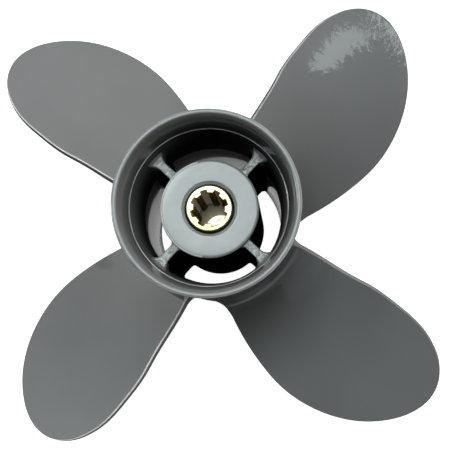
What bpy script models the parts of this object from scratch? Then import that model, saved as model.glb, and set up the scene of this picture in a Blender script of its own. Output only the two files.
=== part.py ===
# Ship propeller with four right-handed blades, exhaust through the hub.
# A cast barrel with a flared rear ring carries the blades, four webs join it to an inner hub,
# and the inner hub holds a rubber bushing with a splined brass sleeve.
# Lengths are in millimetres and angles in degrees; they turn into metres where a mesh is made.
# The shaft runs along Z: the front rim lies at Z = 0 and the flared ring points up.

import math

import bmesh
import bpy
import numpy

MM = 0.001
SEAM = 0.3

# Blades, seen from the flared ring: each one leans back clockwise towards the front
BLADE_COUNT = 4
FIRST_BLADE_ANGLE = 45.0
TIP_RADIUS = 117.5
FACE_HEIGHT = 34.4
FACE_RADIUS = 70.0
CLIMB_PER_RADIAN = 37.5
CLIMB_GAIN = 0.062
RAKE = 0.062
OUTLINE_CENTRE = (76.0, -4.0)
OUTLINE_ANGLES = (-155, -130, -105, -75, -45, -15, 15, 45, 75, 105, 130, 155)
OUTLINE_REACH = (51.7, 38.0, 32.4, 30.2, 32.0, 37.4, 42.4, 36.9, 29.3, 28.0, 31.6, 47.2)
ROOT_THICKNESS = 8.5
TIP_THICKNESS = 3.0
LEADING_THICKNESS = 1.4
TRAILING_THICKNESS = 2.6
TRAILING_FADE = 12.0
ROOT_FILLET = 4.5
NOSE_FILLET = 8.5
TAIL_FILLET = 5.5
ROOT_FRONT = 0.6

# Barrel, the outer hub
LENGTH = 90.0
BARREL_FRONT_RADIUS = 33.6
WAIST_RADIUS = 33.2
WAIST_HEIGHT = 76.5
LIP_RADIUS = 36.0
LIP_THICKNESS = 2.1
FLARE_BEND = 1.4
BORE_FRONT_RADIUS = 28.6
BORE_RADIUS = 28.35
BORE_TAPER_START = 54.0
BORE_REAR_RADIUS = 31.0
STEP_HEIGHT = 78.2
STEP_WIDTH = 0.4
BELL_BEND = 1.8
FRONT_CHAMFER = 0.6

# Inner hub and its webs
HUB_FRONT = 1.5
HUB_REAR = 73.4
HUB_FRONT_RADIUS = 20.5
HUB_REAR_RADIUS = 19.7
HUB_EDGE_ROUND = 1.2
HUB_WALL = 6.5
HUB_CAVITY_RADIUS = 16.5
HUB_HOLE_RADIUS = 9.5
HUB_HOLE_CHAMFER = 1.8
WEB_COUNT = 4
FIRST_WEB_ANGLE = 44.2
WEB_FRONT = 3.0
WEB_REAR = 70.6
WEB_THICKNESS = 3.6
WEB_HUB_FILLET = 1.4
WEB_WALL_FILLET = 4.4
WEB_FRONT_FILLET = 2.4

# Rubber bushing and splined sleeve
BUSHING_FRONT = 7.0
BUSHING_REAR = 66.0
SLEEVE_FRONT = 3.5
SLEEVE_REAR = 74.5
SLEEVE_RADIUS = 9.1
SPLINE_COUNT = 8
SPLINE_ROOT_RADIUS = 7.3
SPLINE_CREST_RADIUS = 6.1
SPLINE_SLOT_WIDTH = 2.8
FIRST_SLOT_ANGLE = 15.6
SLEEVE_CHAMFER = 0.4
COUNTERBORE_DEPTH = 27.0

# Facets around each turned piece
BARREL_STEPS = 96
HUB_STEPS = 80
SLEEVE_STEPS = 64

PAINT_GREY = (0.20, 0.21, 0.21)
RUBBER_BLACK = (0.015, 0.015, 0.016)
BRASS_YELLOW = (0.62, 0.47, 0.20)


def clear_scene():
    for item in list(bpy.data.objects):
        bpy.data.objects.remove(item, do_unlink=True)


def make_collection(name):
    group = bpy.data.collections.new(name)
    bpy.context.scene.collection.children.link(group)
    return group


def make_material(name, colour, roughness, metallic):
    material = bpy.data.materials.new(name)
    material.use_nodes = True
    shader = material.node_tree.nodes["Principled BSDF"]
    shader.inputs["Base Color"].default_value = (*colour, 1.0)
    shader.inputs["Roughness"].default_value = roughness
    shader.inputs["Metallic"].default_value = metallic
    return material


def add_object(name, mesh, group, material):
    thing = bpy.data.objects.new(name, mesh)
    group.objects.link(thing)
    if material:
        mesh.materials.append(material)
    return thing


def arc(centre, radius, first, last, steps):
    # Points of an arc in the profile plane, from one angle to the other
    points = []
    for i in range(steps + 1):
        angle = math.radians(first + (last - first) * i / steps)
        points.append((centre[0] + radius * math.cos(angle), centre[1] + radius * math.sin(angle)))
    return points


def turned(name, profile, steps, group, material):
    # A closed profile of (radius, height) points, turned about Z
    mesh = bpy.data.meshes.new(name)
    count = len(profile)
    corners = [(radius * MM, 0.0, height * MM) for radius, height in profile]
    mesh.from_pydata(corners, [(i, (i + 1) % count) for i in range(count)], [])
    thing = add_object(name, mesh, group, material)
    screw = thing.modifiers.new("Turn", "SCREW")
    screw.axis = "Z"
    screw.angle = math.tau
    screw.steps = steps
    screw.render_steps = steps
    screw.use_merge_vertices = True
    screw.merge_threshold = 0.00001
    screw.use_smooth_shade = True
    return thing


def lofted(name, rings, group, material):
    # A closed skin over rings of (x, y, z) points. Each end is closed by strips that run across
    # the ring, so it follows a round surface: point i is faced by the point i before the first.
    shape = bmesh.new()
    rows = []
    for ring in rings:
        rows.append([shape.verts.new((x * MM, y * MM, z * MM)) for x, y, z in ring])
    count = len(rows[0])
    for lower, upper in zip(rows, rows[1:]):
        for i in range(count):
            j = (i + 1) % count
            shape.faces.new((lower[i], lower[j], upper[j], upper[i]))
    middle = count // 2
    for row in (rows[0], rows[-1]):
        shape.faces.new((row[0], row[1], row[-1]))
        for i in range(1, middle - 1):
            shape.faces.new((row[i], row[i + 1], row[-i - 1], row[-i]))
        shape.faces.new((row[middle - 1], row[middle], row[middle + 1]))
    bmesh.ops.recalc_face_normals(shape, faces=shape.faces)
    mesh = bpy.data.meshes.new(name)
    shape.to_mesh(mesh)
    shape.free()
    mesh.shade_smooth()
    mesh.set_sharp_from_angle(angle=math.radians(40.0))
    return add_object(name, mesh, group, material)


def fillet_reach(height, radius):
    # How far a fillet stands out from its wall at a height above the surface it runs into
    if height >= radius:
        return 0.0
    return radius - math.sqrt(radius ** 2 - (radius - height) ** 2)


def spline_through(knots, values, places):
    # Cubic spline through the knots, read at the places; at each end two pieces are one curve
    knots = numpy.array(knots, float)
    values = numpy.array(values, float)
    gaps = numpy.diff(knots)
    slopes = numpy.diff(values) / gaps
    count = len(knots)
    system = numpy.eye(count)
    right = numpy.zeros(count)
    for i in range(1, count - 1):
        system[i, i - 1] = gaps[i - 1]
        system[i, i] = 2.0 * (gaps[i - 1] + gaps[i])
        system[i, i + 1] = gaps[i]
        right[i] = 6.0 * (slopes[i] - slopes[i - 1])
    system[0, :3] = gaps[1], -gaps[0] - gaps[1], gaps[0]
    system[-1, -3:] = gaps[-1], -gaps[-2] - gaps[-1], gaps[-2]
    bends = numpy.linalg.solve(system, right)
    places = numpy.asarray(places, float)
    cell = numpy.clip(numpy.searchsorted(knots, places) - 1, 0, count - 2)
    span = gaps[cell]
    before = (knots[cell + 1] - places) / span
    after = (places - knots[cell]) / span
    straight = before * values[cell] + after * values[cell + 1]
    bow = (before ** 3 - before) * bends[cell] + (after ** 3 - after) * bends[cell + 1]
    return straight + bow * span ** 2 / 6.0


def barrel_radius(height):
    # Outside of the barrel from the front rim to the waist
    return BARREL_FRONT_RADIUS + (WAIST_RADIUS - BARREL_FRONT_RADIUS) * height / WAIST_HEIGHT


def bore_radius(height):
    # Inside of the barrel below the step, narrowest where the two tapers meet
    if height < BORE_TAPER_START:
        share = height / BORE_TAPER_START
        return BORE_FRONT_RADIUS + (BORE_RADIUS - BORE_FRONT_RADIUS) * share
    share = (height - BORE_TAPER_START) / (STEP_HEIGHT - BORE_TAPER_START)
    return BORE_RADIUS + (BORE_REAR_RADIUS - BORE_RADIUS) * share


def hub_radius(height):
    share = (height - HUB_FRONT) / (HUB_REAR - HUB_FRONT)
    return HUB_FRONT_RADIUS + (HUB_REAR_RADIUS - HUB_FRONT_RADIUS) * share


def barrel_profile():
    lip_half = LIP_THICKNESS / 2.0
    lip_centre = (LIP_RADIUS - lip_half, LENGTH - lip_half)
    profile = arc(lip_centre, lip_half, 90.0, 0.0, 3)
    flare_steps = 6
    for i in range(1, flare_steps + 1):
        share = 1.0 - i / flare_steps
        height = WAIST_HEIGHT + (lip_centre[1] - WAIST_HEIGHT) * share
        profile.append((WAIST_RADIUS + (LIP_RADIUS - WAIST_RADIUS) * share ** FLARE_BEND, height))
    profile.append((barrel_radius(FRONT_CHAMFER), FRONT_CHAMFER))
    profile.append((BARREL_FRONT_RADIUS - FRONT_CHAMFER, 0.0))
    profile.append((BORE_FRONT_RADIUS + FRONT_CHAMFER, 0.0))
    profile.append((BORE_FRONT_RADIUS, FRONT_CHAMFER))
    profile.append((BORE_RADIUS, BORE_TAPER_START))
    profile.append((BORE_REAR_RADIUS, STEP_HEIGHT))
    step_radius = BORE_REAR_RADIUS + STEP_WIDTH
    profile.append((step_radius, STEP_HEIGHT + STEP_WIDTH))
    lip_inside = LIP_RADIUS - LIP_THICKNESS
    bell_steps = 5
    for i in range(1, bell_steps):
        share = i / bell_steps
        height = STEP_HEIGHT + STEP_WIDTH + (lip_centre[1] - STEP_HEIGHT - STEP_WIDTH) * share
        profile.append((step_radius + (lip_inside - step_radius) * share ** BELL_BEND, height))
    return profile + arc(lip_centre, lip_half, 180.0, 120.0, 2)


def inner_hub_profile():
    round_centre = (HUB_REAR_RADIUS - HUB_EDGE_ROUND, HUB_REAR - HUB_EDGE_ROUND)
    profile = arc(round_centre, HUB_EDGE_ROUND, 90.0, 0.0, 3)
    profile.append((HUB_FRONT_RADIUS, HUB_FRONT + FRONT_CHAMFER))
    profile.append((HUB_FRONT_RADIUS - FRONT_CHAMFER, HUB_FRONT))
    profile.append((HUB_CAVITY_RADIUS, HUB_FRONT))
    profile.append((HUB_CAVITY_RADIUS, HUB_REAR - HUB_WALL))
    profile.append((HUB_HOLE_RADIUS, HUB_REAR - HUB_WALL))
    profile.append((HUB_HOLE_RADIUS, HUB_REAR - HUB_HOLE_CHAMFER))
    profile.append((HUB_HOLE_RADIUS + HUB_HOLE_CHAMFER, HUB_REAR))
    return profile


def bushing_profile():
    outside = HUB_CAVITY_RADIUS - SEAM
    inside = SLEEVE_RADIUS + SEAM
    return [
        (outside, BUSHING_REAR),
        (outside, BUSHING_FRONT + FRONT_CHAMFER),
        (outside - FRONT_CHAMFER, BUSHING_FRONT),
        (inside + FRONT_CHAMFER, BUSHING_FRONT),
        (inside, BUSHING_FRONT + FRONT_CHAMFER),
        (inside, BUSHING_REAR),
    ]


def sleeve_profile():
    return [
        (SLEEVE_RADIUS - SLEEVE_CHAMFER, SLEEVE_REAR),
        (SLEEVE_RADIUS, SLEEVE_REAR - SLEEVE_CHAMFER),
        (SLEEVE_RADIUS, SLEEVE_FRONT + SLEEVE_CHAMFER),
        (SLEEVE_RADIUS - SLEEVE_CHAMFER, SLEEVE_FRONT),
        (SPLINE_ROOT_RADIUS, SLEEVE_FRONT),
        (SPLINE_ROOT_RADIUS, SLEEVE_FRONT + COUNTERBORE_DEPTH),
        (SPLINE_CREST_RADIUS, SLEEVE_FRONT + COUNTERBORE_DEPTH + 1.0),
        (SPLINE_CREST_RADIUS, SLEEVE_REAR),
    ]


def make_sleeve(group, cutters, material):
    sleeve = turned("spline_sleeve", sleeve_profile(), SLEEVE_STEPS, group, material)
    slot_length = SLEEVE_REAR + 10.0
    for i in range(SPLINE_COUNT // 2):
        shape = bmesh.new()
        bmesh.ops.create_cube(shape, size=1.0)
        size = (2.0 * SPLINE_ROOT_RADIUS * MM, SPLINE_SLOT_WIDTH * MM, slot_length * MM)
        bmesh.ops.scale(shape, vec=size, verts=shape.verts)
        mesh = bpy.data.meshes.new("slot")
        shape.to_mesh(mesh)
        shape.free()
        cutter = add_object(f"slot_cutter_{i + 1}", mesh, cutters, None)
        cutter.location.z = LENGTH / 2.0 * MM
        cutter.rotation_euler.z = math.radians(FIRST_SLOT_ANGLE + i * 360.0 / SPLINE_COUNT)
        cutter.display_type = "WIRE"
        cutter.hide_render = True
        cut = sleeve.modifiers.new(f"Slot {i + 1}", "BOOLEAN")
        cut.operation = "DIFFERENCE"
        cut.object = cutter
        cut.solver = "EXACT"


def web_ring(height, trim):
    # Outline of a web at one height, on the hub and in the bore, flared where it meets them
    inner = hub_radius(height) + SEAM
    outer = bore_radius(height) - SEAM
    stations = []
    for rise in (0.0, 0.4, WEB_HUB_FILLET - SEAM):
        stations.append((inner + rise, fillet_reach(rise + SEAM, WEB_HUB_FILLET)))
    wall_fillet = WEB_FRONT_FILLET + (WEB_WALL_FILLET - WEB_FRONT_FILLET) * (height / WEB_REAR) ** 2
    for rise in (WEB_WALL_FILLET - SEAM, 2.4, 1.2, 0.4, 0.0):
        stations.append((outer - rise, fillet_reach(rise + SEAM, wall_fillet)))
    half = WEB_THICKNESS / 2.0 - trim
    left = []
    right = []
    for radius, flare in stations:
        width = half + flare
        along = math.sqrt(radius ** 2 - width ** 2)
        left.append((along, width, height))
        right.append((along, -width, height))
    return [(inner, 0.0, height)] + right + [(outer, 0.0, height)] + list(reversed(left))


def make_web(number, group, material):
    heights = [(WEB_FRONT, 0.8), (WEB_FRONT + 0.8, 0.0), (BORE_TAPER_START, 0.0)]
    heights += [(WEB_REAR - 0.8, 0.0), (WEB_REAR, 0.8)]
    rings = [web_ring(height, trim) for height, trim in heights]
    web = lofted(f"web_{number}", rings, group, material)
    web.rotation_euler.z = math.radians(FIRST_WEB_ANGLE + (number - 1) * 360.0 / WEB_COUNT)


def face_height(radius, angle):
    # Height of the working face at a radius and an angle in radians from the blade's middle line
    beyond = radius - FACE_RADIUS
    return FACE_HEIGHT + (CLIMB_PER_RADIAN + CLIMB_GAIN * beyond) * angle + RAKE * beyond


def outline_points():
    # Blade outline seen along the shaft: a reach from its centre in every direction
    angles = numpy.linspace(OUTLINE_ANGLES[0], OUTLINE_ANGLES[-1], 721)
    reach = spline_through(OUTLINE_ANGLES, OUTLINE_REACH, angles)
    x = OUTLINE_CENTRE[0] + reach * numpy.cos(numpy.radians(angles))
    y = OUTLINE_CENTRE[1] + reach * numpy.sin(numpy.radians(angles))
    return numpy.hypot(x, y), numpy.arctan2(y, x)


def edge_angles(radius, outline):
    # Angles of the leading and the trailing edge where the outline crosses a radius
    distance, angle = outline
    tip = int(distance.argmax())
    leading = numpy.interp(radius, distance[:tip + 1], angle[:tip + 1])
    trailing = numpy.interp(-radius, -distance[tip:], angle[tip:])
    return float(leading), float(trailing)


def section(radius, outline):
    # Blade section unrolled at a radius: (along the rim, height) points with a flat working face
    leading, trailing = edge_angles(radius, outline)
    climb = CLIMB_PER_RADIAN + CLIMB_GAIN * (radius - FACE_RADIUS)
    slant = math.hypot(radius, climb)
    along = (radius / slant, climb / slant)
    back = (climb / slant, -radius / slant)
    share = (TIP_RADIUS - radius) / (TIP_RADIUS - BARREL_FRONT_RADIUS)
    span = (trailing - leading) * slant
    limit = 0.45 * span
    thickest = min(TIP_THICKNESS + (ROOT_THICKNESS - TIP_THICKNESS) * share, limit)
    nose = min(LEADING_THICKNESS, 0.6 * limit)
    tail = min(TRAILING_THICKNESS, 0.7 * limit)
    fade = min(1.0, (TIP_RADIUS - radius) / TRAILING_FADE)
    chord = span - tail * climb / radius * fade
    nose_radius = nose / 2.0
    points = [(chord + tail / 8.0, tail / 2.0)]
    steps = 11
    for i in range(steps + 1):
        place = (1.0 + math.cos(math.pi * i / steps)) / 2.0
        points.append((nose_radius + (chord - nose_radius) * place, 0.0))
    for angle in (-67.5, -45.0, -22.5, 0.0, 22.5, 45.0, 67.5):
        turn = math.radians(angle)
        points.append((nose_radius * (1.0 - math.cos(turn)), nose_radius * (1.0 + math.sin(turn))))
    for i in range(steps + 1):
        place = (1.0 - math.cos(math.pi * i / steps)) / 2.0
        bulge = 4.0 * place * (1.0 - place)
        height = nose + (tail - nose) * place + (thickest - (nose + tail) / 2.0) * bulge
        points.append((nose_radius + (chord - nose_radius) * place, height))
    start = (leading * radius, face_height(radius, leading))
    ring = []
    for x, y in points:
        ring.append((start[0] + x * along[0] + y * back[0], start[1] + x * along[1] + y * back[1]))
    return ring


def root_flare(ring, rise):
    # Reach of the root fillet round a section; it widens at both edges of the blade
    start = min(x for x, _ in ring)
    length = max(x for x, _ in ring) - start
    reaches = []
    for x, _ in ring:
        along = (x - start) / length
        radius = ROOT_FILLET + (NOSE_FILLET - ROOT_FILLET) * (1.0 - along) ** 4
        radius += (TAIL_FILLET - ROOT_FILLET) * along ** 8
        reaches.append(fillet_reach(rise, radius))
    return reaches


def spread(ring, distances):
    # Move each point of a closed ring outwards by its own distance
    moved = []
    count = len(ring)
    for i, (x, y) in enumerate(ring):
        before = ring[i - 1]
        after = ring[(i + 1) % count]
        run = (after[0] - before[0], after[1] - before[1])
        length = math.hypot(*run)
        shift = distances[i] / length
        moved.append((x + run[1] * shift, y - run[0] * shift))
    return moved


def blade_ring(rise, outline, flared):
    # A section wrapped round the shaft at a rise above the barrel, flared where it meets it
    root_radius = barrel_radius(FACE_HEIGHT)
    radius = root_radius + rise
    points = section(radius, outline)
    if flared:
        points = spread(points, root_flare(points, rise))
    follow = max(0.0, 1.0 - rise / NOSE_FILLET)
    ring = []
    for x, z in points:
        height = max(z, ROOT_FRONT)
        distance = radius + (barrel_radius(height) - root_radius) * follow
        ring.append((distance * math.cos(x / radius), distance * math.sin(x / radius), height))
    return ring


def make_blade(number, group, material):
    outline = outline_points()
    rings = [blade_ring(SEAM, outline, False)]
    for rise in (SEAM, 0.8, 1.6, 2.8, 4.5, 6.5, NOSE_FILLET):
        rings.append(blade_ring(rise, outline, True))
    root_radius = barrel_radius(FACE_HEIGHT)
    for radius in (47.0, 54.0, 63.0, 72.0, 82.0, 92.0, 100.0, 106.0, 110.5, 113.7, 115.8, 117.0):
        rings.append(blade_ring(radius - root_radius, outline, False))
    blade = lofted(f"blade_{number}", rings, group, material)
    blade.rotation_euler.z = math.radians(FIRST_BLADE_ANGLE + (number - 1) * 360.0 / BLADE_COUNT)


clear_scene()
parts = make_collection("ship_propeller")
cutters = make_collection("cutters")
paint = make_material("grey_paint", PAINT_GREY, 0.35, 0.0)
rubber = make_material("black_rubber", RUBBER_BLACK, 0.8, 0.0)
brass = make_material("brass", BRASS_YELLOW, 0.3, 1.0)

turned("barrel", barrel_profile(), BARREL_STEPS, parts, paint)
turned("inner_hub", inner_hub_profile(), HUB_STEPS, parts, paint)
turned("rubber_bushing", bushing_profile(), HUB_STEPS, parts, rubber)
make_sleeve(parts, cutters, brass)
for web_number in range(1, WEB_COUNT + 1):
    make_web(web_number, parts, paint)
for blade_number in range(1, BLADE_COUNT + 1):
    make_blade(blade_number, parts, paint)
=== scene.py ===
import math

import bmesh
import bpy
import numpy as np
from mathutils import Matrix, Quaternion, Vector, noise


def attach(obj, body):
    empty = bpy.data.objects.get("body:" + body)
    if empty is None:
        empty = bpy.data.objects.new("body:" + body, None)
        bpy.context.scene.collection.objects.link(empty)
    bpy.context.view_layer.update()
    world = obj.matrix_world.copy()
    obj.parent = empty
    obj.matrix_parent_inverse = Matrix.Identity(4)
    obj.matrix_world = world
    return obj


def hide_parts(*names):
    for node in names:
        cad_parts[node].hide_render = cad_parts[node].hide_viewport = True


# the propeller and the camera are worked out in millimetres and turned into metres at the end
mm = 0.001

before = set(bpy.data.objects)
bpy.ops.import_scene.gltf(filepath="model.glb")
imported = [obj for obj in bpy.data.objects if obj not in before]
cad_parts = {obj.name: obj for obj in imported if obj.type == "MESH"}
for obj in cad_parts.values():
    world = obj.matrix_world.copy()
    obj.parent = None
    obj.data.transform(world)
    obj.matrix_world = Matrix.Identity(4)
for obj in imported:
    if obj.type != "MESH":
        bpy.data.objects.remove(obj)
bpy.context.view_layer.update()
print("frame loaded with", len(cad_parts), "solids")


# camera, floor and light

view = {
    "place": (23.6, -51.7, 401.8),
    "turn": (7.575, 3.495, -3.014),
    "lens": 67.53,
    "sensor": 36.0,
    "clipStart": 10.0,
}

# in metres, degrees and watts
studio = {
    "floorSize": 4.0,
    "floorColour": (0.9, 0.9, 0.9),
    "floorRoughness": 0.8,
    "floorGlow": 0.95,
    "skyAzimuth": 51.0,
    "skyElevation": 25.0,
    "skyDark": 0.044,
    "skyBright": 1.005,
    "boxPlace": (-0.054, 0.237, 1.05),
    "boxSize": 0.66,
    "boxPower": 5.0,
    "boxTint": (0.88, 1.0, 1.0),
    "underPlace": (0.0, 0.0, 0.0009),
    "underSize": 0.057,
    "underPower": 0.0036,
    "borePlace": (0.0, 0.0, 0.003),
    "boreSize": 0.0146,
    "borePower": 0.0007,
    "panelDistance": 6.0,
}

# panels that only the gloss picks up: azimuth, elevation, roll, size each way in degrees, brightness
panels = (
    (-19.5, 51.2, -25.0, (3.8, 9.4), 4.5),
    (-21.0, 59.6, 0.0, (8.6, 5.0), 6.0),
    (-131.0, 15.0, 15.0, (26.0, 15.0), 0.36),
    (-112.0, -4.0, 0.0, (26.0, 28.0), 0.75),
    (-167.0, 17.0, 0.0, (4.0, 7.0), 0.8),
    (172.0, 30.0, 0.0, (11.0, 44.0), 9.0),
    (136.0, 66.0, 0.0, (14.0, 14.0), 4.0),
)

# a low screen made of strips, brightest at its foot
screen = {
    "azimuth": 135.0,
    "width": 70.0,
    "strips": 9,
    "stripHeight": 3.5,
    "foot": -7.0,
    "brightness": 1.56,
    "tint": (1.0, 0.99, 0.99),
}


def placeCamera():
    eye = bpy.data.objects.new("Camera", bpy.data.cameras.new("Camera"))
    bpy.context.scene.collection.objects.link(eye)
    eye.location = [value * mm for value in view["place"]]
    eye.rotation_euler = [math.radians(value) for value in view["turn"]]
    eye.data.lens = view["lens"]
    eye.data.sensor_width = view["sensor"]
    eye.data.clip_start = view["clipStart"] * mm
    bpy.context.scene.camera = eye


def addFloor():
    bm = bmesh.new()
    bmesh.ops.create_grid(bm, x_segments=1, y_segments=1, size=studio["floorSize"] / 2)
    mesh = bpy.data.meshes.new("floor")
    bm.to_mesh(mesh)
    bm.free()
    floor = bpy.data.objects.new("floor", mesh)
    bpy.context.scene.collection.objects.link(floor)
    paper = bpy.data.materials.new("palePaper")
    paper.use_nodes = True
    shader = paper.node_tree.nodes["Principled BSDF"]
    shader.inputs["Base Color"].default_value = (*studio["floorColour"], 1.0)
    shader.inputs["Roughness"].default_value = studio["floorRoughness"]
    shader.inputs["Emission Color"].default_value = (1.0, 1.0, 1.0, 1.0)
    shader.inputs["Emission Strength"].default_value = studio["floorGlow"]
    mesh.materials.append(paper)
    # the floor shows pale, and throws no light back up at the paint
    floor.visible_diffuse = False
    floor.visible_glossy = False


def addLight(name, place, size, power, tint, aim):
    lamp = bpy.data.lights.new(name, "AREA")
    lamp.shape = "DISK"
    lamp.size = size
    lamp.energy = power
    lamp.color = tint
    holder = bpy.data.objects.new(name, lamp)
    bpy.context.scene.collection.objects.link(holder)
    holder.location = place
    holder.rotation_euler = (Vector(aim) - Vector(place)).to_track_quat("-Z", "Y").to_euler()
    return holder


def addPanel(number, tint, azimuth, elevation, roll, spread, brightness):
    # a flat panel far off in one direction, turned to face the propeller
    away = studio["panelDistance"]
    turn = Matrix.Rotation(math.radians(azimuth), 3, "Z") @ Matrix.Rotation(-math.radians(elevation), 3, "Y")
    place = turn @ Vector((away, 0.0, 0.0))
    width, height = [2 * away * math.tan(math.radians(angle) / 2) for angle in spread]
    lamp = bpy.data.lights.new(f"panel{number}", "AREA")
    lamp.shape = "RECTANGLE"
    lamp.size = width
    lamp.size_y = height
    lamp.energy = brightness * math.pi * width * height
    lamp.color = tint
    holder = bpy.data.objects.new(f"panel{number}", lamp)
    bpy.context.scene.collection.objects.link(holder)
    holder.location = place
    facing = place.to_track_quat("Z", "Y")
    holder.rotation_euler = (facing @ Quaternion((0.0, 0.0, 1.0), math.radians(roll))).to_euler()
    holder.visible_camera = False
    holder.visible_diffuse = False


def lightScene():
    # a soft surround that grows brighter towards one side, one soft box over the object, the pale
    # floor's light that comes up the passages and the bore, and what the gloss picks up
    world = bpy.data.worlds.new("studio")
    bpy.context.scene.world = world
    world.use_nodes = True
    nodes, links = world.node_tree.nodes, world.node_tree.links
    azimuth, elevation = math.radians(studio["skyAzimuth"]), math.radians(studio["skyElevation"])
    towards = nodes.new("ShaderNodeVectorMath")
    towards.operation = "DOT_PRODUCT"
    towards.inputs[1].default_value = (math.cos(azimuth) * math.cos(elevation),
                                       math.sin(azimuth) * math.cos(elevation), math.sin(elevation))
    links.new(nodes.new("ShaderNodeTexCoord").outputs["Generated"], towards.inputs[0])
    fade = nodes.new("ShaderNodeMapRange")
    fade.inputs["To Min"].default_value = studio["skyDark"]
    fade.inputs["To Max"].default_value = studio["skyDark"] + studio["skyBright"]
    links.new(towards.outputs["Value"], fade.inputs["Value"])
    links.new(fade.outputs["Result"], nodes["Background"].inputs["Strength"])
    nodes["Background"].inputs["Color"].default_value = (1.0, 1.0, 1.0, 1.0)
    addLight("softBox", studio["boxPlace"], studio["boxSize"], studio["boxPower"],
             studio["boxTint"], (0.0, 0.0, 0.0))
    for part in ("under", "bore"):
        glow = addLight(f"{part}Light", studio[f"{part}Place"], studio[f"{part}Size"],
                        studio[f"{part}Power"], (1.0, 1.0, 1.0), (0.0, 0.0, 1.0))
        glow.visible_camera = False
    for number, panel in enumerate(panels, 1):
        addPanel(number, studio["boxTint"], *panel)
    spread = (screen["width"], screen["stripHeight"])
    for k in range(screen["strips"]):
        height = screen["foot"] + screen["stripHeight"] * (k + 0.5)
        brightness = screen["brightness"] * (1 - k / screen["strips"])
        addPanel(len(panels) + 1 + k, screen["tint"], screen["azimuth"], height, 0.0, spread, brightness)


bpy.context.scene.view_settings.view_transform = "Standard"
placeCamera()
addFloor()
lightScene()
print("camera, floor and lights are in place")


# mesh helpers

# arcStep is the turn between two points of a rounding, in radians; points this near in mm merge
meshing = {
    "arcStep": 0.35,
    "spinMerge": 0.00001,
    "sheetMerge": 0.0005,
    "sharpAngle": 35.0,
}


def roundedLine(corners):
    # corners are (radius, height, rounding); a rounding turns the corner into a small arc
    line = []
    count = len(corners)
    for i, (x, y, rounding) in enumerate(corners):
        here = Vector((x, y))
        if rounding == 0.0:
            line.append(here)
            continue
        before = (Vector(corners[i - 1][:2]) - here).normalized()
        after = (Vector(corners[(i + 1) % count][:2]) - here).normalized()
        half = before.angle(after) / 2
        centre = here + (before + after).normalized() * (rounding / math.sin(half))
        reach = rounding / math.tan(half)
        start = here + before * reach - centre
        end = here + after * reach - centre
        sweep = start.angle_signed(end)
        steps = max(2, int(abs(sweep) / meshing["arcStep"]) + 1)
        for k in range(steps + 1):
            turn = Matrix.Rotation(-sweep * k / steps, 2)
            line.append(centre + turn @ start)
    return line


def turnedPiece(corners, steps):
    # spin a closed outline once round the shaft
    bm = bmesh.new()
    points = [bm.verts.new((p.x * mm, 0.0, p.y * mm)) for p in roundedLine(corners)]
    for i, point in enumerate(points):
        bm.edges.new((points[i - 1], point))
    bmesh.ops.spin(bm, geom=bm.verts[:] + bm.edges[:], cent=(0, 0, 0), axis=(0, 0, 1),
                   angle=math.tau, steps=steps, use_merge=True)
    bmesh.ops.remove_doubles(bm, verts=bm.verts, dist=meshing["spinMerge"] * mm)
    bmesh.ops.recalc_face_normals(bm, faces=bm.faces)
    return bm


def wrappedSheet(rows, strip=()):
    # a grid laid over rows of points; each row is a closed loop and the first point comes again last;
    # the columns named in the strip take the second material
    bm = bmesh.new()
    across = len(rows[0]) - 1
    along = len(rows) - 1
    bmesh.ops.create_grid(bm, x_segments=across, y_segments=along, size=0.5)
    for face in bm.faces:
        column = int((face.calc_center_median().x + 0.5) * across)
        face.material_index = int(column in strip)
    for vert in bm.verts:
        i = round((vert.co.y + 0.5) * along)
        j = round((vert.co.x + 0.5) * across)
        vert.co = Vector(rows[i][j]) * mm
    bmesh.ops.remove_doubles(bm, verts=bm.verts, dist=meshing["sheetMerge"] * mm)
    return bm


def closeEnds(bm):
    bmesh.ops.holes_fill(bm, edges=[edge for edge in bm.edges if edge.is_boundary], sides=0)
    bmesh.ops.recalc_face_normals(bm, faces=bm.faces)


def addPiece(name, bm, materials, chooseMaterial=None, sharpAngle=meshing["sharpAngle"]):
    for face in bm.faces:
        face.smooth = True
        if chooseMaterial:
            face.material_index = materials.index(chooseMaterial(face))
    mesh = bpy.data.meshes.new(name)
    bm.to_mesh(mesh)
    bm.free()
    mesh.set_sharp_from_angle(angle=math.radians(sharpAngle))
    for material in materials:
        mesh.materials.append(material)
    piece = bpy.data.objects.new(name, mesh)
    bpy.context.scene.collection.objects.link(piece)
    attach(piece, "root")
    return piece


def filletReach(rise, radius):
    # how far a fillet stands out from its wall, a given rise above the surface it runs into
    if rise >= radius:
        return 0.0
    return radius - math.sqrt(radius ** 2 - (radius - max(rise, 0.0)) ** 2)


# materials

def newMaterial(name):
    material = bpy.data.materials.new(name)
    material.use_nodes = True
    nodes = material.node_tree.nodes
    return material, nodes, material.node_tree.links, nodes["Principled BSDF"]


def noiseOf(nodes, links, scale, detail, source):
    pattern = nodes.new("ShaderNodeTexNoise")
    pattern.inputs["Scale"].default_value = scale
    pattern.inputs["Detail"].default_value = detail
    links.new(source, pattern.inputs["Vector"])
    return pattern.outputs["Fac"]


def rampOf(nodes, links, source, stops):
    # from one shade to another between two levels of the source
    ramp = nodes.new("ShaderNodeValToRGB")
    for entry, (place, shade) in zip(ramp.color_ramp.elements, stops):
        entry.position = place
        entry.color = (*shade, 1.0) if isinstance(shade, tuple) else (shade, shade, shade, 1.0)
    links.new(source, ramp.inputs["Fac"])
    return ramp.outputs["Color"]


def bumpOf(nodes, links, source, strength, distance, previous=None):
    bump = nodes.new("ShaderNodeBump")
    bump.inputs["Strength"].default_value = strength
    bump.inputs["Distance"].default_value = distance
    links.new(source, bump.inputs["Height"])
    if previous:
        links.new(previous, bump.inputs["Normal"])
    return bump.outputs["Normal"]


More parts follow.
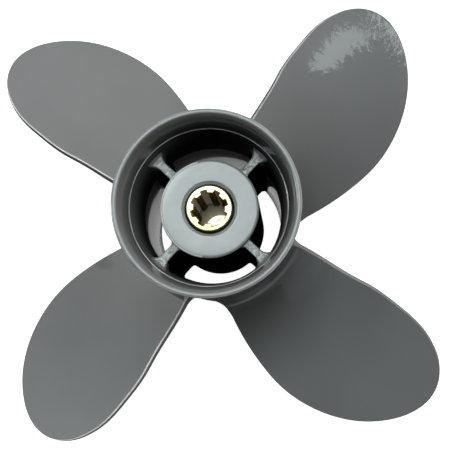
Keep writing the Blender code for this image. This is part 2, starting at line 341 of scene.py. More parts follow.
# what all paints share: stops are noise levels, and depths are in mm
grain = {
    "stops": (0.3, 0.7),
    "toneDetail": 3.0,
    "fineDetail": 2.0,
    "smoother": 0.04,
    "rougher": 0.06,
    "peelDepth": 0.5,
    "grainDepth": 0.1,
}

paint = {
    "dark": (0.156, 0.157, 0.155),
    "light": (0.190, 0.192, 0.190),
    "patchScale": 18.0,
    "roughness": 0.42,
    "shine": 0.5,
    "peelScale": 420.0,
    "peelStrength": 0.05,
    "grainScale": 1800.0,
    "grainStrength": 0.04,
    "coat": 0.8,
    "coatRoughness": 0.06,
    "waveScale": 110.0,
    "waveStrength": 0.12,
}


# a painted shade goes from one height to another, with a share of darkening at each, and lies most to one
# azimuth or, with None, all round; a share below nothing is painted light
paintedShade = {
    "startsAt": 0.1,
    "fullAt": 0.95,
    "thickest": 0.93,
    "flare": [((78.0, 88.0), (1.0, 0.75), 74.0)],
    "rim": [((87.0, 89.5), (0.6, 0.35), 115.0)],
    "wall": [((54.0, 78.0), (1.0, 1.0), 74.0), ((58.0, 75.0), (0.96, 0.1), None),
             ((60.0, 77.0), (0.0, -1.3), -5.0)],
}


def paintedShadeOf(nodes, links, place, colour, heights, shares, azimuth):
    # painted shade: darkens the colour by height and towards one azimuth; a share below nothing lightens it
    # as painted light
    towards = math.radians(azimuth or 0.0)
    flat = nodes.new("ShaderNodeVectorMath")
    flat.operation = "MULTIPLY"
    flat.inputs[1].default_value = (1.0, 1.0, 0.0)
    links.new(place, flat.inputs[0])
    aim = nodes.new("ShaderNodeVectorMath")
    aim.operation = "NORMALIZE"
    links.new(flat.outputs["Vector"], aim.inputs[0])
    side = nodes.new("ShaderNodeVectorMath")
    side.operation = "DOT_PRODUCT"
    side.inputs[1].default_value = (math.cos(towards), math.sin(towards), 0.0)
    links.new(aim.outputs["Vector"], side.inputs[0])
    share = nodes.new("ShaderNodeMapRange")
    share.inputs["From Min"].default_value = paintedShade["startsAt"]
    share.inputs["From Max"].default_value = paintedShade["fullAt"]
    share.inputs["To Max"].default_value = paintedShade["thickest"]
    links.new(side.outputs["Value"], share.inputs["Value"])
    split = nodes.new("ShaderNodeSeparateXYZ")
    links.new(place, split.inputs["Vector"])
    byHeight = nodes.new("ShaderNodeMapRange")
    byHeight.inputs["From Min"].default_value = heights[0] * mm
    byHeight.inputs["From Max"].default_value = heights[1] * mm
    byHeight.inputs["To Min"].default_value = shares[0]
    byHeight.inputs["To Max"].default_value = shares[1]
    links.new(split.outputs["Z"], byHeight.inputs["Value"])
    cover = nodes.new("ShaderNodeMath")
    cover.operation = "MULTIPLY"
    cover.inputs[0].default_value = 1.0
    if azimuth is not None:
        links.new(share.outputs["Result"], cover.inputs[0])
    links.new(byHeight.outputs["Result"], cover.inputs[1])
    left = nodes.new("ShaderNodeMath")
    left.operation = "SUBTRACT"
    left.inputs[0].default_value = 1.0
    links.new(cover.outputs["Value"], left.inputs[1])
    shadedColour = nodes.new("ShaderNodeVectorMath")
    shadedColour.operation = "SCALE"
    links.new(colour, shadedColour.inputs[0])
    links.new(left.outputs["Value"], shadedColour.inputs["Scale"])
    return shadedColour.outputs["Vector"]


def makePaint(name, look, shadeCovers=()):
    # slow change of tone, fine peel, grain and a clear skin: enamel, painted shade, painted highlight, bare
    # casting and rubber
    material, nodes, links, shader = newMaterial(name)
    place = nodes.new("ShaderNodeTexCoord").outputs["Object"]
    tone = noiseOf(nodes, links, look["patchScale"], grain["toneDetail"], place)
    colour = rampOf(nodes, links, tone, zip(grain["stops"], (look["dark"], look["light"])))
    for cover in shadeCovers:
        colour = paintedShadeOf(nodes, links, place, colour, *cover)
    links.new(colour, shader.inputs["Base Color"])
    waves = None
    if look.get("waveStrength"):
        swell = noiseOf(nodes, links, look["waveScale"], grain["toneDetail"], place)
        waves = bumpOf(nodes, links, swell, look["waveStrength"], grain["peelDepth"] * mm)
    peel = noiseOf(nodes, links, look["peelScale"], grain["fineDetail"], place)
    specks = noiseOf(nodes, links, look["grainScale"], grain["fineDetail"], place)
    roughness = (look["roughness"] - grain["smoother"], look["roughness"] + grain["rougher"])
    links.new(rampOf(nodes, links, specks, zip(grain["stops"], roughness)), shader.inputs["Roughness"])
    soft = bumpOf(nodes, links, peel, look["peelStrength"], grain["peelDepth"] * mm, waves)
    links.new(bumpOf(nodes, links, specks, look["grainStrength"], grain["grainDepth"] * mm, soft),
              shader.inputs["Normal"])
    shader.inputs["Specular IOR Level"].default_value = look["shine"]
    shader.inputs["Coat Weight"].default_value = look["coat"]
    shader.inputs["Coat Roughness"].default_value = look["coatRoughness"]
    links.new(soft, shader.inputs["Coat Normal"])
    return material


# painted shade: a darker copy of the grey paint for the inside of the flare
flareShadePaint = paint | {"dark": (0.118, 0.119, 0.118), "light": (0.145, 0.147, 0.145)}

# painted shade: dark paint for the bore wall behind the taper
paintedShadeWall = {
    "dark": (0.090, 0.091, 0.091),
    "light": (0.145, 0.147, 0.147),
    "patchScale": 60.0,
    "roughness": 0.55,
    "shine": 0.05,
    "peelScale": 700.0,
    "peelStrength": 0.12,
    "grainScale": 2500.0,
    "grainStrength": 0.1,
    "coat": 0.0,
    "coatRoughness": 0.2,
}

shadowPaint = {
    "dark": (0.006, 0.006, 0.006),
    "light": (0.014, 0.014, 0.014),
    "patchScale": 60.0,
    "roughness": 0.8,
    "shine": 0.0,
    "peelScale": 700.0,
    "peelStrength": 0.15,
    "grainScale": 2500.0,
    "grainStrength": 0.1,
    "coat": 0.0,
    "coatRoughness": 0.3,
}

castFace = {
    "dark": (0.13, 0.14, 0.14),
    "light": (0.52, 0.55, 0.55),
    "patchScale": 800.0,
    "roughness": 0.35,
    "shine": 0.5,
    "peelScale": 1100.0,
    "peelStrength": 0.5,
    "grainScale": 3200.0,
    "grainStrength": 0.3,
    "coat": 0.5,
    "coatRoughness": 0.15,
}

# painted light: a paler copy of the paint for the hub's rear face
hubFace = {
    "dark": (0.215, 0.230, 0.230),
    "light": (0.275, 0.295, 0.295),
    "patchScale": 90.0,
    "roughness": 0.35,
    "shine": 0.5,
    "peelScale": 500.0,
    "peelStrength": 0.05,
    "grainScale": 2200.0,
    "grainStrength": 0.05,
    "coat": 0.8,
    "coatRoughness": 0.12,
}

chamferLook = {
    "dark": (0.23, 0.23, 0.245),
    "light": (0.35, 0.345, 0.37),
    "patchScale": 160.0,
    "roughness": 0.3,
    "shine": 0.5,
    "peelScale": 800.0,
    "peelStrength": 0.1,
    "grainScale": 2600.0,
    "grainStrength": 0.1,
    "coat": 0.5,
    "coatRoughness": 0.12,
}

rubberLook = {
    "dark": (0.010, 0.010, 0.011),
    "light": (0.022, 0.022, 0.023),
    "patchScale": 120.0,
    "roughness": 0.75,
    "shine": 0.3,
    "peelScale": 1200.0,
    "peelStrength": 0.2,
    "grainScale": 4000.0,
    "grainStrength": 0.2,
    "coat": 0.0,
    "coatRoughness": 0.3,
}

# painted highlight: a paler paint for the step's edge and the lip's outer rounding
stepHighlightLook = {
    "dark": (0.20, 0.21, 0.21),
    "light": (0.40, 0.41, 0.41),
    "patchScale": 120.0,
    "roughness": 0.36,
    "shine": 0.5,
    "peelScale": 700.0,
    "peelStrength": 0.1,
    "grainScale": 2400.0,
    "grainStrength": 0.08,
    "coat": 0.8,
    "coatRoughness": 0.08,
}

# painted highlight: a pale paint for thin lines along edges
edgeHighlightLook = {
    "dark": (0.26, 0.27, 0.27),
    "light": (0.62, 0.63, 0.63),
    "patchScale": 260.0,
    "roughness": 0.34,
    "shine": 0.5,
    "peelScale": 900.0,
    "peelStrength": 0.1,
    "grainScale": 3000.0,
    "grainStrength": 0.1,
    "coat": 0.5,
    "coatRoughness": 0.1,
}

litEdge = edgeHighlightLook | {"dark": (0.76, 0.72, 0.71), "light": (0.92, 0.88, 0.87)}

brass = {
    "bright": (0.76, 0.73, 0.37),
    "dull": (0.66, 0.62, 0.28),
    # painted light and painted shade: the slot floors are a pale brass and the crests a dark brown
    "slotBright": (1.0, 0.87, 0.52),
    "slotDull": (0.82, 0.69, 0.40),
    "slotShine": 0.45,
    "slotMetal": 0.0,
    "toothBright": (0.30, 0.20, 0.08),
    "toothDull": (0.15, 0.09, 0.03),
    "toothShine": 0.0,
    "toothMetal": 0.0,
    "boreBright": (0.23, 0.19, 0.055),
    "boreDull": (0.14, 0.115, 0.03),
    "boreShine": 0.0,
    "boreMetal": 0.5,
    "toneScale": 220.0,
    "toneDetail": 3.0,
    "toneStops": (0.35, 0.6),
    "ringScale": 900.0,
    "ringDetail": 2.0,
    "ringStops": (0.3, 0.7),
    "ringRoughness": (0.25, 0.42),
    "ringStrength": 0.15,
    "ringDepth": 0.05,
    "streakScale": 1560.0,
    "streakLength": 0.04,
    "streakDetail": 4.0,
    "streakStops": (0.35, 0.65),
    "streakStrength": 0.3,
    "streakDepth": 0.1,
    "boreRoughness": 0.6,
}


def makeBrassFace():
    # turned end: fine rings round the shaft
    material, nodes, links, shader = newMaterial("brassFace")
    place = nodes.new("ShaderNodeTexCoord").outputs["Object"]
    distance = nodes.new("ShaderNodeVectorMath")
    distance.operation = "LENGTH"
    links.new(place, distance.inputs[0])
    rings = noiseOf(nodes, links, brass["ringScale"], brass["ringDetail"], distance.outputs["Value"])
    tone = noiseOf(nodes, links, brass["toneScale"], brass["toneDetail"], place)
    links.new(rampOf(nodes, links, tone, zip(brass["toneStops"], (brass["dull"], brass["bright"]))),
              shader.inputs["Base Color"])
    links.new(rampOf(nodes, links, rings, zip(brass["ringStops"], brass["ringRoughness"])),
              shader.inputs["Roughness"])
    links.new(bumpOf(nodes, links, rings, brass["ringStrength"], brass["ringDepth"] * mm),
              shader.inputs["Normal"])
    shader.inputs["Metallic"].default_value = 1.0
    return material


def makeBrassBore(name, part):
    # broached bore: dull brown, with streaks along the shaft; the slot floors are given a paler brass and
    # the crests a darker brown, as painted light and painted shade
    dull, bright, shine, metal = [brass[part + word] for word in ("Dull", "Bright", "Shine", "Metal")]
    material, nodes, links, shader = newMaterial(name)
    place = nodes.new("ShaderNodeTexCoord").outputs["Object"]
    stretch = nodes.new("ShaderNodeMapping")
    stretch.inputs["Scale"].default_value = (1.0, 1.0, brass["streakLength"])
    links.new(place, stretch.inputs["Vector"])
    streaks = noiseOf(nodes, links, brass["streakScale"], brass["streakDetail"], stretch.outputs["Vector"])
    links.new(rampOf(nodes, links, streaks, zip(brass["streakStops"], (dull, bright))),
              shader.inputs["Base Color"])
    shader.inputs["Roughness"].default_value = brass["boreRoughness"]
    shader.inputs["Specular IOR Level"].default_value = shine
    shader.inputs["Metallic"].default_value = metal
    links.new(bumpOf(nodes, links, streaks, brass["streakStrength"], brass["streakDepth"] * mm),
              shader.inputs["Normal"])
    return material


greyPaint = makePaint("greyPaint", paint)
paintedShadeFlare = makePaint("paintedShadeFlare", flareShadePaint, paintedShade["flare"])
paintedShadeRim = makePaint("paintedShadeRim", paint, paintedShade["rim"])
paintedShadeInside = makePaint("paintedShadeInside", paintedShadeWall, paintedShade["wall"])
shadowSide = makePaint("shadowSide", shadowPaint)
roughCast = makePaint("roughCast", castFace)
paleHub = makePaint("paleHub", hubFace)
edgeHighlight = makePaint("edgeHighlight", edgeHighlightLook)
litRim = makePaint("litRim", litEdge)
stepHighlight = makePaint("stepHighlight", stepHighlightLook)
bareChamfer = makePaint("bareChamfer", chamferLook)
blackRubber = makePaint("blackRubber", rubberLook)
brassFace = makeBrassFace()
brassSlot = makeBrassBore("brassSlot", "slot")
brassTooth = makeBrassBore("brassTooth", "tooth")
brassBore = makeBrassBore("brassBore", "bore")
print("materials are made")


# barrel

barrel = {
    "steps": 192,
    "length": 90.0,
    "frontRadius": 33.6,
    "waistRadius": 33.2,
    "waistHeight": 76.5,
    "lipRadius": 36.15,
    "lipThickness": 2.0,
    "lipCrown": 0.22,
    "lipOuterRound": 0.4,
    "lipInnerRound": 0.5,
    "flareBend": 1.4,
    "boreFrontRadius": 28.6,
    "boreRadius": 28.35,
    "taperStart": 54.0,
    "boreRearRadius": 30.88,
    "stepHeight": 78.2,
    "stepWidth": 0.3,
    "bellBend": 1.8,
    "bellTopRadius": 33.3,
    "bellTopHeight": 88.4,
    "frontRound": 0.7,
    "stepRound": 0.1,
    "flareDrop": 1.2,
    "flareSteps": 10,
    "bellSteps": 8,
    "crownSteps": 4,
    "crownShare": 0.5,
    "stepBand": 0.15,
    "rimBand": 0.2,
    "boreMargin": 0.02,
    "bellMargin": 0.1,
    "upFacing": 0.3,
    "roundFacing": (0.15, 0.95),
}


def barrelRadius(height):
    slope = (barrel["waistRadius"] - barrel["frontRadius"]) / barrel["waistHeight"]
    return barrel["frontRadius"] + slope * height


def boreRadius(height):
    # narrowest where the two tapers meet
    b = barrel
    if height < b["taperStart"]:
        share = height / b["taperStart"]
        return b["boreFrontRadius"] + (b["boreRadius"] - b["boreFrontRadius"]) * share
    share = (height - b["taperStart"]) / (b["stepHeight"] - b["taperStart"])
    return b["boreRadius"] + (b["boreRearRadius"] - b["boreRadius"]) * share


def buildBarrel():
    b = barrel
    top = b["length"]
    lipSide = top - b["lipCrown"]
    corners = [(b["lipRadius"], lipSide, b["lipOuterRound"])]
    flareTop = top - b["flareDrop"]
    for i in range(b["flareSteps"] + 1):
        share = 1 - i / b["flareSteps"]
        height = b["waistHeight"] + (flareTop - b["waistHeight"]) * share
        radius = b["waistRadius"] + (b["lipRadius"] - b["waistRadius"]) * share ** b["flareBend"]
        corners.append((radius, height, 0.0))
    stepRadius = b["boreRearRadius"] + b["stepWidth"]
    corners += [
        (b["frontRadius"], 0.0, b["frontRound"]),
        (b["boreFrontRadius"], 0.0, b["frontRound"]),
        (b["boreRadius"], b["taperStart"], 0.0),
        (b["boreRearRadius"], b["stepHeight"], b["stepRound"]),
        (stepRadius, b["stepHeight"] + b["stepRound"], 0.0),
    ]
    for i in range(1, b["bellSteps"] + 1):
        share = i / b["bellSteps"]
        height = b["stepHeight"] + (b["bellTopHeight"] - b["stepHeight"]) * share
        corners.append((stepRadius + (b["bellTopRadius"] - stepRadius) * share ** b["bellBend"],
                        height, 0.0))
    corners.append((b["lipRadius"] - b["lipThickness"], lipSide, b["lipInnerRound"]))
    for i in range(b["crownSteps"] + 1):
        share = b["crownShare"] * (i / b["crownSteps"] - 0.5)
        radius = b["lipRadius"] + b["lipThickness"] * (share - 0.5)
        corners.append((radius, lipSide + b["lipCrown"] * (1 - 4 * share ** 2), 0.0))
    bm = turnedPiece(corners, b["steps"])

    def finish(face):
        middle = face.calc_center_median()
        away = math.hypot(middle.x, middle.y) / mm
        height = middle.z / mm
        # painted highlight on the step's edge and on the lip's outer rounding
        if abs(height - b["stepHeight"]) < b["stepBand"] and face.normal.z > b["upFacing"]:
            return stepHighlight
        low, high = b["roundFacing"]
        if away > b["lipRadius"] - b["lipOuterRound"] and low < face.normal.z < high:
            return stepHighlight
        if face.normal.dot(Vector((middle.x, middle.y, 0))) > 0 or height < b["taperStart"]:
            return greyPaint
        # painted shade: the bore wall behind the taper, the flare and the inner rim are painted darker
        if height < b["stepHeight"] and away < b["boreRearRadius"] + b["boreMargin"]:
            return paintedShadeInside
        if height < b["bellTopHeight"] and away < b["bellTopRadius"] + b["bellMargin"]:
            return paintedShadeFlare
        return paintedShadeRim if away < b["lipRadius"] - b["lipThickness"] + b["rimBand"] else greyPaint

    finishes = [greyPaint, paintedShadeInside, paintedShadeFlare, stepHighlight, paintedShadeRim]
    piece = addPiece("barrel_shell", bm, finishes, finish)
    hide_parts("barrel")


# inner hub

hub = {
    "steps": 160,
    "front": 1.5,
    "rear": 73.4,
    "frontRadius": 20.5,
    "rearRadius": 19.7,
    "edgeRound": 1.1,
    "frontRound": 0.7,
    "wall": 6.5,
    "cavityRadius": 16.5,
    "cavityFrontRound": 0.5,
    "cavityRearRound": 1.5,
    "holeRadius": 10.0,
    "holeChamfer": 1.2,
    "holeFrontRound": 0.4,
    "holeRearRound": 0.5,
    "holeMargin": 0.02,
    "highlightBand": 0.3,
    "litBand": 0.8,
    "litSpread": 0.2,
    "faceDepth": 2.5,
    "sideFacing": 0.35,
    "chamferFacing": 0.72,
}


def hubRadius(height):
    share = (height - hub["front"]) / (hub["rear"] - hub["front"])
    return hub["frontRadius"] + (hub["rearRadius"] - hub["frontRadius"]) * share


def buildHub():
    h = hub
    corners = [
        (h["rearRadius"], h["rear"], h["edgeRound"]),
        (h["frontRadius"], h["front"], h["frontRound"]),
        (h["cavityRadius"], h["front"], h["cavityFrontRound"]),
        (h["cavityRadius"], h["rear"] - h["wall"], h["cavityRearRound"]),
        (h["holeRadius"], h["rear"] - h["wall"], h["holeFrontRound"]),
        (h["holeRadius"], h["rear"] - h["holeChamfer"], 0.0),
        (h["holeRadius"] + h["holeChamfer"], h["rear"], h["holeRearRound"]),
    ]
    bm = turnedPiece(corners, h["steps"])

    def finish(face):
        middle = face.calc_center_median()
        away = math.hypot(middle.x, middle.y) / mm
        if away < h["holeRadius"] + h["holeMargin"]:
            return bareChamfer
        if face.normal.z < h["sideFacing"] or middle.z / mm < h["rear"] - h["faceDepth"]:
            return shadowSide
        # a painted highlight runs along the rim of the face on one side
        if away > h["rearRadius"] - h["litBand"] and middle.x < -h["litSpread"] * abs(middle.y):
            return litRim
        # the face is a paler paint as painted light, and a narrow band round the hole carries a painted
        # highlight
        if away > h["holeRadius"] + h["holeChamfer"] + h["highlightBand"]:
            return paleHub
        return bareChamfer if face.normal.z < h["chamferFacing"] else edgeHighlight

    finishes = [bareChamfer, paleHub, shadowSide, edgeHighlight, litRim]
    piece = addPiece("hub_core", bm, finishes, finish)
    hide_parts("inner_hub")


# webs between hub and barrel

web = {
    "count": 4,
    "firstAngle": 44.2,
    "front": 3.0,
    "frontBevel": 1.0,
    "frontShare": 0.7,
    "rear": 70.6,
    "thickness": 3.6,
    "overlap": 0.4,
    "hubFillet": 1.4,
    "wallFillet": 4.4,
    "frontFillet": 2.4,
    "earFillet": 3.2,
    "edgeRound": 0.5,
    "ridge": 0.2,
    "ridgePlace": 0.8,
    "ridgeWidth": 0.13,
    "roughness": 0.3,
    "roughScale": 1.1,
    "roughShift": 7.0,
    "roughOctaves": 3,
    "brightColumns": (0, 1, 20, 21),
    "brightWidth": 0.25,
    "footDepth": 5.0,
    "sideFacing": 0.35,
    "cornerFacing": 0.8,
    "acrossSteps": 22,
    "cornerSteps": 4,
    "depthSteps": 10,
    "depthCrowding": 1.6,
    "alongSteps": 34,
}


def webSection():
    # (side as a share of half the thickness, height, share of the rear face's relief) round a web
    w = web
    half = w["thickness"] / 2
    corner = w["edgeRound"] / half
    points = []
    for k in range(w["acrossSteps"] + 1):
        points.append((-1 + corner + (2 - 2 * corner) * k / w["acrossSteps"], w["rear"], 1.0))
    sideTop = w["rear"] - w["edgeRound"]
    corners = [math.radians(90 / w["cornerSteps"] * k) for k in range(1, w["cornerSteps"] + 1)]
    for turn in corners:
        points.append((1 - corner + corner * math.sin(turn),
                       sideTop + w["edgeRound"] * math.cos(turn), math.cos(turn)))
    sideFoot = w["front"] + w["frontBevel"]
    depths = []
    for k in range(1, w["depthSteps"] + 1):
        depths.append(sideTop + (sideFoot - sideTop) * (k / w["depthSteps"]) ** w["depthCrowding"])
    points += [(1.0, depth, 0.0) for depth in depths]
    points += [(w["frontShare"], w["front"], 0.0), (-w["frontShare"], w["front"], 0.0)]
    points += [(-1.0, depth, 0.0) for depth in reversed(depths)]
    for turn in reversed(corners):
        points.append((-1 + corner - corner * math.sin(turn),
                       sideTop + w["edgeRound"] * math.cos(turn), math.cos(turn)))
    return points + points[:1]


def buildWeb(number):
    w = web
    angle = math.radians(w["firstAngle"] + (number - 1) * 360 / w["count"])
    section = webSection()
    rows = []
    for i in range(w["alongSteps"] + 1):
        # rows close up towards both ends, where the fillets are
        share = (1 - math.cos(math.pi * i / w["alongSteps"])) / 2
        row = []
        for x, z, relief in section:
            inner = hubRadius(z) - w["overlap"]
            wall = boreRadius(z + relief * w["earFillet"])
            radius = inner + (wall + w["overlap"] - inner) * share
            flare = filletReach(radius - hubRadius(z), w["hubFillet"])
            wallFillet = w["frontFillet"] + (w["wallFillet"] - w["frontFillet"]) * (z / w["rear"]) ** 2
            flare += filletReach(wall - radius, wallFillet)
            side = x * (w["thickness"] / 2 + flare)
            height = z
            if relief:
                fade = min(1.0, max(0.0, (wall - radius) / w["earFillet"]))
                spot = Vector((radius * w["roughScale"], side * w["roughScale"], number * w["roughShift"]))
                rough = noise.fractal(spot, 1.0, 2.0, w["roughOctaves"])
                edge = math.exp(-((abs(x) - w["ridgePlace"]) / w["ridgeWidth"]) ** 2)
                height += relief * filletReach(wall - radius, w["earFillet"])
                height += relief * fade * (w["roughness"] * rough + w["ridge"] * edge)
            forward = math.sqrt(max(radius ** 2 - side ** 2, 0.0))
            row.append((forward, side, height))
        rows.append(row)
    bm = wrappedSheet(rows, w["brightColumns"])
    closeEnds(bm)
    bmesh.ops.rotate(bm, verts=bm.verts, cent=(0, 0, 0), matrix=Matrix.Rotation(angle, 3, "Z"))
    earFoot = boreRadius(w["rear"] + w["earFillet"]) - w["earFillet"]

    def finish(face):
        middle = face.calc_center_median()
        away = math.hypot(middle.x, middle.y) / mm
        if face.normal.z < w["sideFacing"]:
            # near its rear end a web's flared foot gets the same painted shade as the wall that it runs into
            foot = away > earFoot and middle.z / mm > w["rear"] - w["footDepth"]
            return paintedShadeInside if foot else shadowSide
        if face.normal.z < w["cornerFacing"]:
            return greyPaint
        # painted highlight: bright lines along the rear face's two edges and at the ear's foot
        bright = face.material_index == 1 or abs(away - earFoot) < w["brightWidth"]
        return edgeHighlight if bright else roughCast

    finishes = [shadowSide, roughCast, greyPaint, edgeHighlight, paintedShadeInside]
    piece = addPiece(f"web_casting_{number}", bm, finishes, finish)
    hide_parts(f"web_{number}")


# blades

blade = {
    "count": 4,
    "firstAngle": 45.0,
    "tipRadius": 117.5,
    "faceHeight": 34.4,
    "faceRadius": 70.0,
    "climb": 37.5,
    "climbGain": 0.062,
    "rake": 0.062,
    "outlineCentre": (76.0, -4.0),
    "outlineAngles": (-155, -130, -105, -75, -45, -15, 15, 45, 75, 105, 130, 155),
    "outlineReach": (51.7, 38.0, 32.4, 30.2, 32.0, 37.35, 42.35, 36.9, 29.3, 28.0, 31.6, 47.2),
    "outlinePoints": 2001,
    "rootThickness": 8.5,
    "tipThickness": 3.0,
    "leadingThickness": 1.4,
    "trailingThickness": 2.6,
    "trailingFade": 12.0,
    "edgeRound": 0.45,
    "leadingLimit": 0.7,
    "trailingLimit": 0.8,
    "roundLimit": 0.3,
    "rootFillet": 4.5,
    "noseFillet": 8.5,
    "noseNarrowing": 4,
    "tailFillet": 5.5,
    "tailNarrowing": 8,
    "rootFront": 0.6,
    "rootDepth": 0.8,
    "tipGap": 0.01,
    "highlightColumns": (1, 2, 3, 4, 5, 117, 118, 119, 120),
    "sharpAngle": 60.0,
    "edgeSteps": 4,
    "noseSteps": 16,
    "filletSteps": 14,
    "chordSteps": 48,
    "spanSteps": 52,
}


def smoothCurve(knots, values, places):
    # cubic spline whose outer two pieces at each end are one curve
    knots = np.array(knots, float)
    values = np.array(values, float)
    gaps = np.diff(knots)
    slopes = np.diff(values) / gaps
    count = len(knots)
    system = np.eye(count)
    right = np.zeros(count)
    for i in range(1, count - 1):
        system[i, i - 1:i + 2] = gaps[i - 1], 2 * (gaps[i - 1] + gaps[i]), gaps[i]
        right[i] = 6 * (slopes[i] - slopes[i - 1])
    system[0, :3] = gaps[1], -gaps[0] - gaps[1], gaps[0]
    system[-1, -3:] = gaps[-1], -gaps[-2] - gaps[-1], gaps[-2]
    bends = np.linalg.solve(system, right)
    cell = np.clip(np.searchsorted(knots, places) - 1, 0, count - 2)
    span = gaps[cell]
    before = (knots[cell + 1] - places) / span
    after = (places - knots[cell]) / span
    bow = (before ** 3 - before) * bends[cell] + (after ** 3 - after) * bends[cell + 1]
    return before * values[cell] + after * values[cell + 1] + bow * span ** 2 / 6


def bladeOutline():
    # distance and angle of points along the blade's edge, seen along the shaft
    angles = np.linspace(blade["outlineAngles"][0], blade["outlineAngles"][-1], blade["outlinePoints"])
    reach = smoothCurve(blade["outlineAngles"], blade["outlineReach"], angles)
    x = blade["outlineCentre"][0] + reach * np.cos(np.radians(angles))
    y = blade["outlineCentre"][1] + reach * np.sin(np.radians(angles))
    return np.hypot(x, y), np.arctan2(y, x)


def bladeSection(radius, outline):
    # closed section unrolled at a radius, from the middle of the trailing edge and back to it
    b = blade
    distance, angle = outline
    tip = int(distance.argmax())
    leading = float(np.interp(radius, distance[:tip + 1], angle[:tip + 1]))
    trailing = float(np.interp(-radius, -distance[tip:], angle[tip:]))
    climb = b["climb"] + b["climbGain"] * (radius - b["faceRadius"])
    slant = math.hypot(radius, climb)
    share = (b["tipRadius"] - radius) / (b["tipRadius"] - barrel["frontRadius"])
    span = (trailing - leading) * slant
    limit = 0.5 * span
    toTip = float(distance.max()) - radius
    thick = min(b["tipThickness"] + (b["rootThickness"] - b["tipThickness"]) * share, limit)
    nose = min(b["leadingThickness"], b["leadingLimit"] * limit)
    tail = min(b["trailingThickness"], b["trailingLimit"] * limit)
    fade = min(1.0, toTip / b["trailingFade"])
    chord = span - tail * climb / radius * fade
    rounding = min(b["edgeRound"], tail * b["roundLimit"])
    lift = 0.0
    if toTip < rounding:
        lift = rounding - math.sqrt(max(2 * rounding * toTip - toTip ** 2, 0.0))
    half = nose / 2
    steps = b["chordSteps"]
    section = [(chord, tail / 2)]
    for k in range(b["edgeSteps"] + 1):
        turn = math.radians(-90 / b["edgeSteps"] * k)
        section.append((chord - rounding + rounding * math.cos(turn),
                        rounding + rounding * math.sin(turn)))
    for k in range(1, steps):
        place = (1 + math.cos(math.pi * k / steps)) / 2
        section.append((half + (chord - rounding - half) * place, lift))
    for k in range(b["noseSteps"] + 1):
        turn = math.radians(-90 - 180 / b["noseSteps"] * k)
        section.append((half + half * math.cos(turn), half + half * math.sin(turn)))
    for k in range(1, steps):
        place = (1 - math.cos(math.pi * k / steps)) / 2
        arch = 4 * place * (1 - place)
        height = nose + (tail - nose) * place + max(thick - (nose + tail) / 2, 0.0) * arch
        section.append((half + (chord - rounding - half) * place, height - lift))
    for k in range(b["edgeSteps"] + 1):
        turn = math.radians(90 - 90 / b["edgeSteps"] * k)
        section.append((chord - rounding + rounding * math.cos(turn),
                        tail - rounding + rounding * math.sin(turn)))
    section.append(section[0])
    beyond = radius - b["faceRadius"]
    startHeight = b["faceHeight"] + climb * leading + b["rake"] * beyond
    rim = []
    for x, y in section:
        rim.append((leading * radius + (x * radius + y * climb) / slant,
                    startHeight + (x * climb - y * radius) / slant))
    return rim


def spreadLoop(loop, rise):
    # flare a closed loop outwards by the root fillet, which widens at both edges of the blade
    b = blade
    xs = [x for x, _ in loop]
    start, length = min(xs), max(xs) - min(xs)
    spread = []
    count = len(loop) - 1
    for i in range(count):
        along = (loop[i][0] - start) / length
        radius = b["rootFillet"] + (b["noseFillet"] - b["rootFillet"]) * (1 - along) ** b["noseNarrowing"]
        radius += (b["tailFillet"] - b["rootFillet"]) * along ** b["tailNarrowing"]
        reach = filletReach(rise, radius)
        before = loop[(i - 1) % count]
        after = loop[(i + 1) % count]
        runX, runY = after[0] - before[0], after[1] - before[1]
        shift = reach / math.hypot(runX, runY)
        spread.append((loop[i][0] + runY * shift, loop[i][1] - runX * shift))
    return spread + [spread[0]]


def bladeRows():
    # loops from just inside the barrel's skin, up the root fillet and out to the tip
    b = blade
    outline = bladeOutline()
    foot = barrelRadius(b["faceHeight"])
    fillet = b["noseFillet"]
    last = float(outline[0].max()) - b["tipGap"] - foot
    rises = [-b["rootDepth"]]
    rises += [fillet - fillet * math.cos(math.radians(90 * k / b["filletSteps"]))
              for k in range(b["filletSteps"] + 1)]
    flared = len(rises)
    rises += [fillet + (last - fillet) * math.sin(math.pi / 2 * k / b["spanSteps"])
              for k in range(1, b["spanSteps"] + 1)]
    rows = []
    for i, rise in enumerate(rises):
        radius = foot + max(rise, 0.0)
        loop = bladeSection(radius, outline)
        if i < flared:
            loop = spreadLoop(loop, rise)
        follow = min(1.0, max(0.0, 1 - rise / fillet))
        row = []
        for x, z in loop:
            height = max(z, b["rootFront"])
            distance = foot + rise + (barrelRadius(height) - foot) * follow
            row.append((distance * math.cos(x / radius), distance * math.sin(x / radius), height))
        rows.append(row)
    return rows


def buildBlades():
    # one trailing edge carries a painted highlight strip, two carry a brighter painted highlight, and the
    # fourth has plain paint
    edges = [edgeHighlight, litRim, litRim, greyPaint]
    rows = bladeRows()
    for number in range(1, blade["count"] + 1):
        bm = wrappedSheet(rows, blade["highlightColumns"])
        closeEnds(bm)
        angle = math.radians(blade["firstAngle"] + (number - 1) * 360 / blade["count"])
        bmesh.ops.rotate(bm, verts=bm.verts, cent=(0, 0, 0), matrix=Matrix.Rotation(angle, 3, "Z"))
        finishes = [greyPaint, edges[number - 1]]
        piece = addPiece(f"blade_casting_{number}", bm, finishes,
                         sharpAngle=blade["sharpAngle"])
        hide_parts(f"blade_{number}")


# rubber bushing and splined sleeve

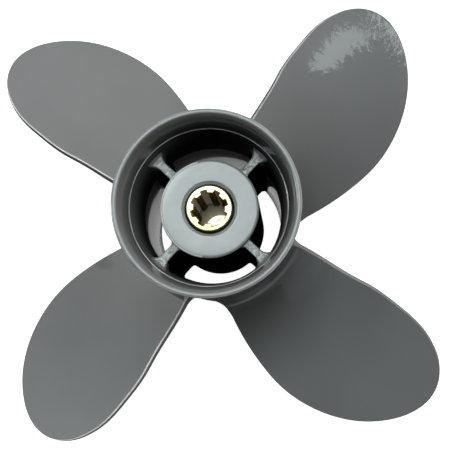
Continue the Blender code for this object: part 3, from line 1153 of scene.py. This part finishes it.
drive = {
    "bushingSteps": 128,
    "bushingFront": 7.0,
    "bushingRear": 66.0,
    "bushingGap": 0.05,
    "bushingRearRound": 0.5,
    "bushingFrontRound": 1.0,
    "bushingBoreRound": 0.3,
    "grooveOuter": (2.5, 3.2),
    "grooveInner": (1.6, 0.9),
    "grooveDepth": 0.8,
    "grooveRound": 0.4,
    "sleeveFront": 3.5,
    "sleeveRear": 74.5,
    "sleeveRadius": 9.1,
    "splines": 8,
    "rootRadius": 7.3,
    "crestRadius": 6.1,
    "slotWidth": 2.8,
    "firstSlot": 15.6,
    "chamfer": 0.35,
    "mouth": 0.35,
    "dome": 0.09,
    "counterbore": 38.0,
    "counterboreSlope": 1.0,
    "slotSteps": 4,
    "crestSteps": 6,
    "endMargin": 0.05,
    "slotMargin": 0.1,
    "endFacing": 0.5,
}


def buildBushing():
    d = drive
    front, rear = d["bushingFront"], d["bushingRear"]
    outer = hub["cavityRadius"] - d["bushingGap"]
    inner = d["sleeveRadius"] + d["bushingGap"]
    corners = [
        (outer, rear, d["bushingRearRound"]),
        (outer, front, d["bushingFrontRound"]),
        (outer - d["grooveOuter"][0], front, d["grooveRound"]),
        (outer - d["grooveOuter"][1], front + d["grooveDepth"], d["grooveRound"]),
        (inner + d["grooveInner"][0], front + d["grooveDepth"], d["grooveRound"]),
        (inner + d["grooveInner"][1], front, d["bushingBoreRound"]),
        (inner, front, d["bushingBoreRound"]),
        (inner, rear, d["bushingBoreRound"]),
    ]
    piece = addPiece("bushing_rubber", turnedPiece(corners, d["bushingSteps"]), [blackRubber])
    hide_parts("rubber_bushing")


def splineAngles():
    # angles and bore radii round the sleeve: along each slot's floor, then along each crest
    d = drive
    pitch = 360 / d["splines"]
    slotHalf = math.degrees(math.asin(d["slotWidth"] / 2 / d["rootRadius"]))
    crestStart = math.degrees(math.asin(d["slotWidth"] / 2 / d["crestRadius"]))
    around = []
    for i in range(d["splines"]):
        middle = d["firstSlot"] + i * pitch
        for k in range(d["slotSteps"] + 1):
            around.append((middle + slotHalf * (2 * k / d["slotSteps"] - 1), d["rootRadius"]))
        for k in range(d["crestSteps"] + 1):
            step = (pitch - 2 * crestStart) * k / d["crestSteps"]
            around.append((middle + crestStart + step, d["crestRadius"]))
    return around + [(around[0][0] + 360, around[0][1])]


def buildSleeve():
    d = drive
    front, rear = d["sleeveFront"], d["sleeveRear"]
    edge = d["chamfer"]
    plainEnd = front + d["counterbore"]
    # (radius or None where the splines set it, height, extra width at the mouth)
    ring = [
        (None, rear - d["mouth"], 0.0),
        (None, rear, d["mouth"]),
        (d["sleeveRadius"] - edge, rear, 0.0),
        (d["sleeveRadius"], rear - edge, 0.0),
        (d["sleeveRadius"], (front + rear) / 2, 0.0),
        (d["sleeveRadius"], front + edge, 0.0),
        (d["sleeveRadius"] - edge, front, 0.0),
        (d["rootRadius"] + edge, front, 0.0),
        (d["rootRadius"], front + edge, 0.0),
        (d["rootRadius"], plainEnd, 0.0),
        (None, plainEnd + d["counterboreSlope"], 0.0),
        (None, (front + rear) / 2, 0.0),
    ]
    around = splineAngles()
    rows = []
    for angle, bore in around:
        turn = math.radians(angle)
        row = []
        for radius, height, extra in ring + ring[:1]:
            away = bore + extra if radius is None else radius
            if height > plainEnd:
                # the turned end falls away slightly towards its rim
                height -= d["dome"] * max(0.0, away - d["crestRadius"])
            row.append((away * math.cos(turn), away * math.sin(turn), height))
        rows.append(row)
    bm = wrappedSheet(rows)
    bmesh.ops.recalc_face_normals(bm, faces=bm.faces)

    def finish(face):
        middle = face.calc_center_median()
        away = math.hypot(middle.x, middle.y) / mm
        if away > d["rootRadius"] + d["endMargin"] or abs(face.normal.z) > d["endFacing"]:
            return brassFace
        if middle.z / mm < plainEnd + d["counterboreSlope"]:
            return brassBore
        return brassSlot if away > d["rootRadius"] - d["slotMargin"] else brassTooth

    finishes = [brassFace, brassSlot, brassTooth, brassBore]
    piece = addPiece("sleeve_brass", bm, finishes, finish)
    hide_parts("spline_sleeve")


buildBarrel()
buildHub()
for number in range(1, web["count"] + 1):
    buildWeb(number)
print("barrel, hub and webs are built")
buildBlades()
print("blades are built")
buildBushing()
buildSleeve()
print("bushing and sleeve are built")
